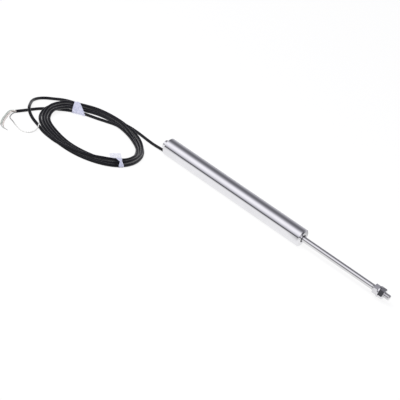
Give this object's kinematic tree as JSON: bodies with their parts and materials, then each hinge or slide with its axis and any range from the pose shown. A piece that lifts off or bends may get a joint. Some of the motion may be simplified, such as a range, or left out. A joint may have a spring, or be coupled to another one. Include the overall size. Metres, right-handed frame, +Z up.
{
  "type": "lvdt displacement sensor",
  "caption": "Slim polished round inductive displacement sensor with a sliding threaded push rod, a coiled black cable taped into a ring and bared lead wires",
  "frame": {"origin": "below the middle of the sensor's length without its cable, on the floor it lies on", "axes": "+X along the axis from the cable end to the rod's tip, +Y away from the coil, +Z up"},
  "size_m": [0.4164, 0.164, 0.019],
  "materials": {
    "polished_steel": "polished",
    "rod_steel": "ground",
    "nut_steel": "plated",
    "spring_steel": "blackened",
    "liner_steel": "drawn",
    "shield_alloy": "annealed",
    "core_alloy": "ground",
    "winding_copper": "enamelled",
    "pin_brass": "plain",
    "bush_polymer": "machined",
    "guide_polymer": "machined",
    "bobbin_polymer": "moulded",
    "terminal_board": "plain",
    "wrap_tape": "film",
    "seal_rubber": "moulded",
    "cable_sheath": "satin",
    "clear_tape": "film",
    "white_insulation": "satin",
    "grey_insulation": "satin",
    "green_insulation": "satin",
    "red_insulation": "satin"
  },
  "bodies": {
    "housing": {"housing_tube": "polished_steel", "front_cap": "polished_steel", "rear_cap": "polished_steel", "front_bush": "bush_polymer", "rod_wiper": "seal_rubber", "bush_retaining_ring": "spring_steel", "bore_liner": "liner_steel", "bobbin": "bobbin_polymer", "primary_winding": "winding_copper", "front_secondary_winding": "winding_copper", "rear_secondary_winding": "winding_copper", "winding_wraps": "wrap_tape", "magnetic_shield": "shield_alloy", "front_spacer": "bobbin_polymer", "rear_spacer": "bobbin_polymer", "terminal_ring": "terminal_board", "terminal_pins": "pin_brass", "inner_leads": "white_insulation", "cable_ferrule": "liner_steel", "cable_lead": "cable_sheath", "cable_coil": "cable_sheath", "cable_loop": "cable_sheath", "cable_tail": "cable_sheath", "far_tape_tie": "clear_tape", "near_tape_tie": "clear_tape", "white_conductor": "white_insulation", "grey_conductor": "grey_insulation", "green_conductor": "green_insulation", "red_conductor": "red_insulation"},
    "guide": {"core_guide_ring": "guide_polymer"},
    "armature": {"push_rod": "rod_steel", "core": "core_alloy", "core_lock_nut": "nut_steel", "rear_rod_nut": "nut_steel", "rod_washer": "nut_steel", "front_rod_nut": "nut_steel"}
  },
  "joints": [
    {"name": "rod_slide", "type": "slide", "parent": "housing", "child": "guide", "axis": [1, 0, 0], "range_m": [-0.076, 0.004]},
    {"name": "rod_turn", "type": "hinge", "parent": "guide", "child": "armature", "pos_m": [0, 0, 0.0095], "axis": [1, 0, 0], "continuous": true}
  ]
}
